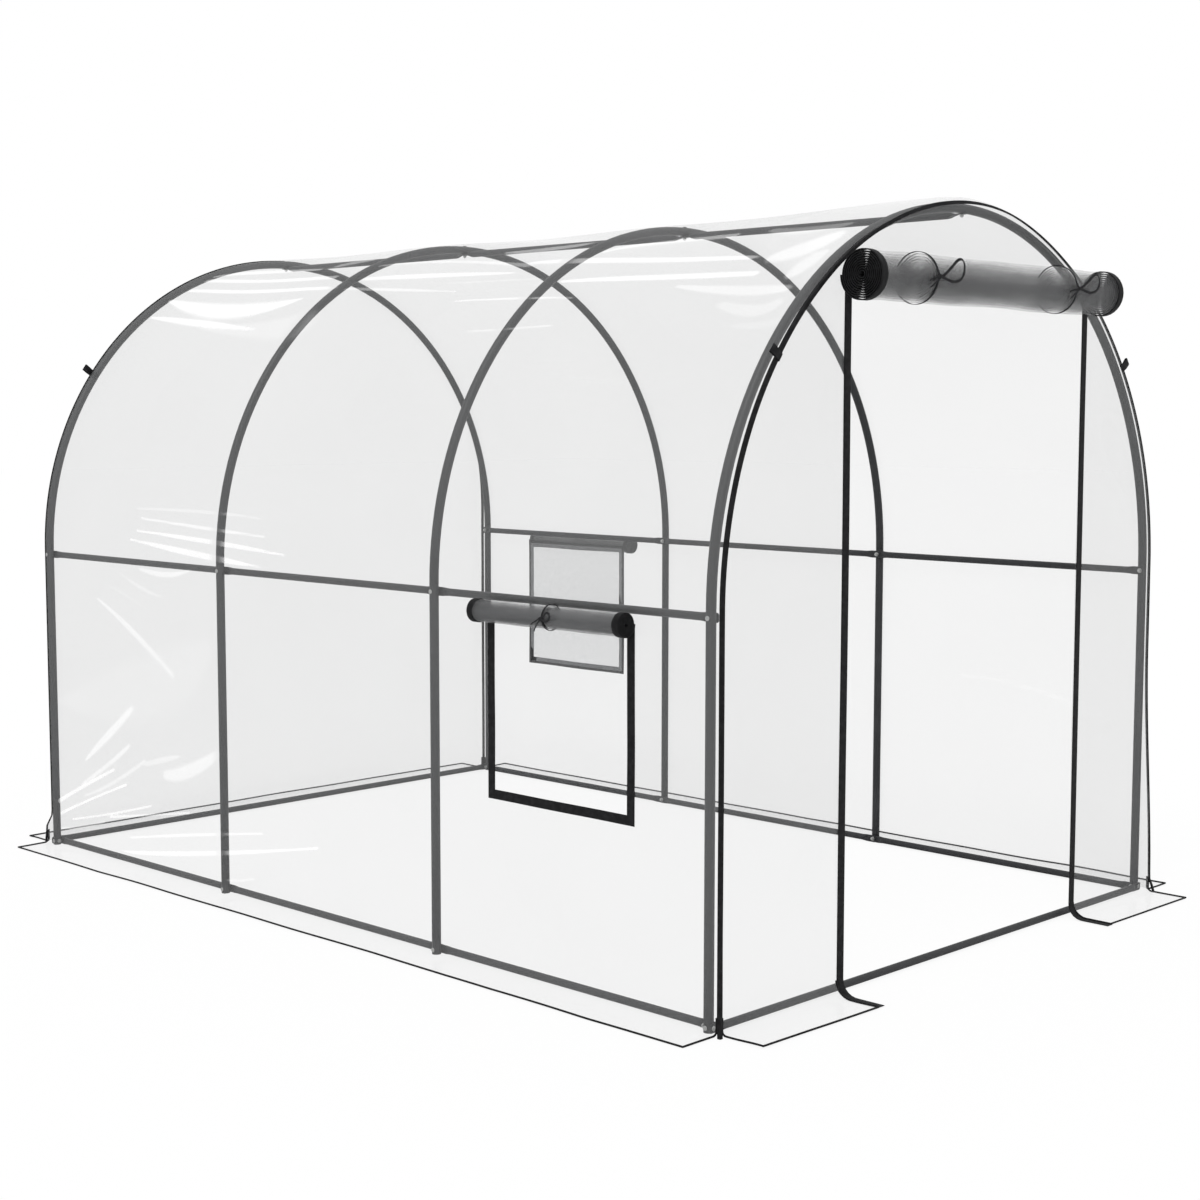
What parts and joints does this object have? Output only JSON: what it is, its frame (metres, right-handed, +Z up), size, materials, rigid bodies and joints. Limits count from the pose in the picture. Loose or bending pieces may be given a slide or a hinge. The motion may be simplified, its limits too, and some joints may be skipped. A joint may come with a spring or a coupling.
{
  "type": "polytunnel greenhouse",
  "caption": "Walk-in tunnel greenhouse: round steel hoops with bolted rails under a clear film cover with a rolled-up door, mesh windows with rolled flaps, and ground skirts.",
  "frame": {"origin": "on the ground, at the middle of the footprint", "axes": "+Z up, +Y along the tunnel towards the closed rear end, the doorway faces -Y, +X across the tunnel"},
  "size_m": [2.24, 3.2878, 2.0031],
  "materials": {
    "frame_steel": "satin dark grey powder coat",
    "clear_film": "clear glossy film",
    "insect_mesh": "fine pale mesh",
    "binding_tape": "black woven tape",
    "rolled_film": "clear film in a roll, grey in its many layers",
    "tie_cord": "black cord",
    "webbing": "black webbing"
  },
  "bodies": {
    "root": {"hoop_1_legs": "frame_steel", "hoop_2_legs": "frame_steel", "hoop_3_legs": "frame_steel", "hoop_4_legs": "frame_steel", "hoop_1_arch": "frame_steel", "hoop_2_arch": "frame_steel", "hoop_3_arch": "frame_steel", "hoop_4_arch": "frame_steel", "ridge_tube_1": "frame_steel", "ridge_tube_2": "frame_steel", "ridge_tube_3": "frame_steel", "left_mid_rail_1": "frame_steel", "left_mid_rail_2": "frame_steel", "left_mid_rail_3": "frame_steel", "left_base_rail_1": "frame_steel", "left_base_rail_2": "frame_steel", "left_base_rail_3": "frame_steel", "right_mid_rail_1": "frame_steel", "right_mid_rail_2": "frame_steel", "right_mid_rail_3": "frame_steel", "right_base_rail_1": "frame_steel", "right_base_rail_2": "frame_steel", "right_base_rail_3": "frame_steel", "front_sill_rail": "frame_steel", "rear_sill_rail": "frame_steel", "left_wall_cover": "clear_film", "right_wall_cover": "clear_film", "roof_cover": "clear_film", "rear_cover": "clear_film", "front_cover_left": "clear_film", "front_cover_right": "clear_film", "front_cover_top": "clear_film", "left_skirt": "clear_film", "right_skirt": "clear_film", "front_skirts": "clear_film", "rear_skirt": "clear_film", "left_window_mesh": "insect_mesh", "right_window_mesh": "insect_mesh", "left_window_binding": "binding_tape", "right_window_binding": "binding_tape", "front_seam_binding": "binding_tape", "rear_seam_binding": "binding_tape", "door_bindings": "binding_tape", "door_roll": "rolled_film", "left_window_roll": "rolled_film", "right_window_roll": "rolled_film", "door_ties": "tie_cord", "left_window_tie": "tie_cord", "right_window_tie": "tie_cord", "shoulder_straps": "webbing"}
  },
  "joints": []
}
